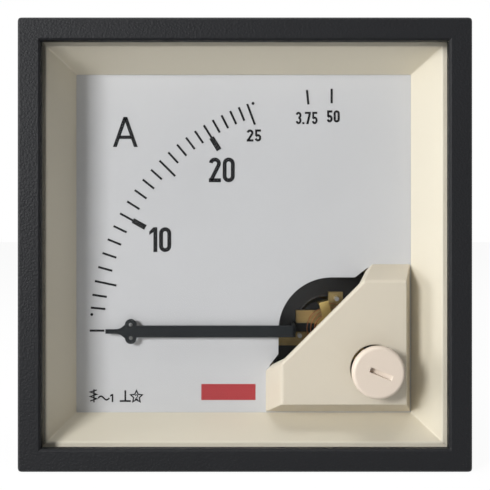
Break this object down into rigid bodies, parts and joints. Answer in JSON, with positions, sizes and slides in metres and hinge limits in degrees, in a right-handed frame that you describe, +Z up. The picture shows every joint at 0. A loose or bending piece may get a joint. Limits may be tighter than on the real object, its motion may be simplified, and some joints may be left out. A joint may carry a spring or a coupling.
{
  "type": "analog panel meter",
  "caption": "Square moving-iron ammeter for a panel cut-out: black bezel, cream mask, quadrant scale with a bar pointer, corner cover with zero adjuster, rear studs and side clamps.",
  "frame": {"origin": "centre of the panel cut-out, in the plane where the bezel's rear face meets the panel", "axes": "-Y out of the dial towards the viewer, +Y into the panel, +X to the viewer's right, +Z up"},
  "size_m": [0.1036, 0.081, 0.096],
  "materials": {
    "bezel": "fine-grained black moulding",
    "glass": "flat polished pane",
    "seal": "soft black foam rubber",
    "case": "black moulding, satin",
    "mask": "cream moulding, satin",
    "dial": "pale grey-white lacquer on sheet",
    "ink": "matt black ink",
    "cover": "cream moulding, satin",
    "adjuster": "off-white moulding",
    "pointer": "matt black lacquer",
    "steel": "bright steel",
    "passivated": "yellow-passivated steel",
    "brass": "turned brass",
    "bronze": "phosphor bronze strip",
    "iron": "annealed iron sheet",
    "former": "black phenolic moulding",
    "copper": "enamelled copper wire",
    "cup": "natural nylon",
    "zinc": "bright zinc plate"
  },
  "bodies": {
    "housing": {"bezel": "bezel", "front_glass": "glass", "glass_seal": "seal", "case": "case", "mask": "mask", "dial_plate": "dial", "scale_marks": "ink", "dial_screws": "steel", "corner_cover": "cover", "front_bridge": "passivated", "front_cheek": "passivated", "pointer_stops": "steel", "frame_pillars": "brass", "base_plate": "passivated", "cheek_screws": "zinc", "bridge_screw": "zinc", "base_screws": "zinc", "front_jewel_screw": "brass", "rear_jewel_screw": "brass", "jewel_locknuts": "brass", "coil_former": "former", "coil_winding": "copper", "fixed_iron": "iron", "damping_cup": "cup", "terminal_studs": "brass", "terminal_washers": "brass", "terminal_nuts": "brass", "clamp_bracket_left": "zinc", "clamp_bracket_right": "zinc"},
    "moving_system": {"pointer": "pointer", "staff": "steel", "spring_hub": "brass", "balance_cross": "steel", "balance_weights": "zinc", "moving_iron": "iron", "damping_disc": "steel"},
    "zero_adjuster": {"zero_screw": "adjuster", "zero_screw_clip": "steel"},
    "zero_lever": {"zero_lever": "brass", "hairspring": "bronze"},
    "clamp_left": {"clamp_spindle_left": "zinc"},
    "clamp_right": {"clamp_spindle_right": "zinc"}
  },
  "joints": [
    {"name": "pointer_swing", "type": "hinge", "parent": "housing", "child": "moving_system", "pos_m": [0.02, 0, -0.0198], "axis": [0, 1, 0], "range_deg": [-2, 92], "stiffness_Nm_per_rad": 0.004, "deforming": ["hairspring"]},
    {"name": "zero_screw_turn", "type": "hinge", "parent": "housing", "child": "zero_adjuster", "pos_m": [0.0284, 0, -0.0272], "axis": [0, 1, 0], "range_deg": [-40, 40]},
    {"name": "zero_lever_tilt", "type": "hinge", "parent": "housing", "child": "zero_lever", "pos_m": [0.02, 0, -0.0198], "axis": [0, 1, 0], "range_deg": [-6.5, 6.5]},
    {"name": "clamp_left_slide", "type": "slide", "parent": "housing", "child": "clamp_left", "axis": [0, 1, 0], "range_m": [-0.004, 0.012]},
    {"name": "clamp_right_slide", "type": "slide", "parent": "housing", "child": "clamp_right", "axis": [0, 1, 0], "range_m": [-0.004, 0.012]}
  ],
  "couplings": [
    {"joint": "zero_lever_tilt", "follows": "zero_screw_turn", "ratio": -0.155}
  ]
}
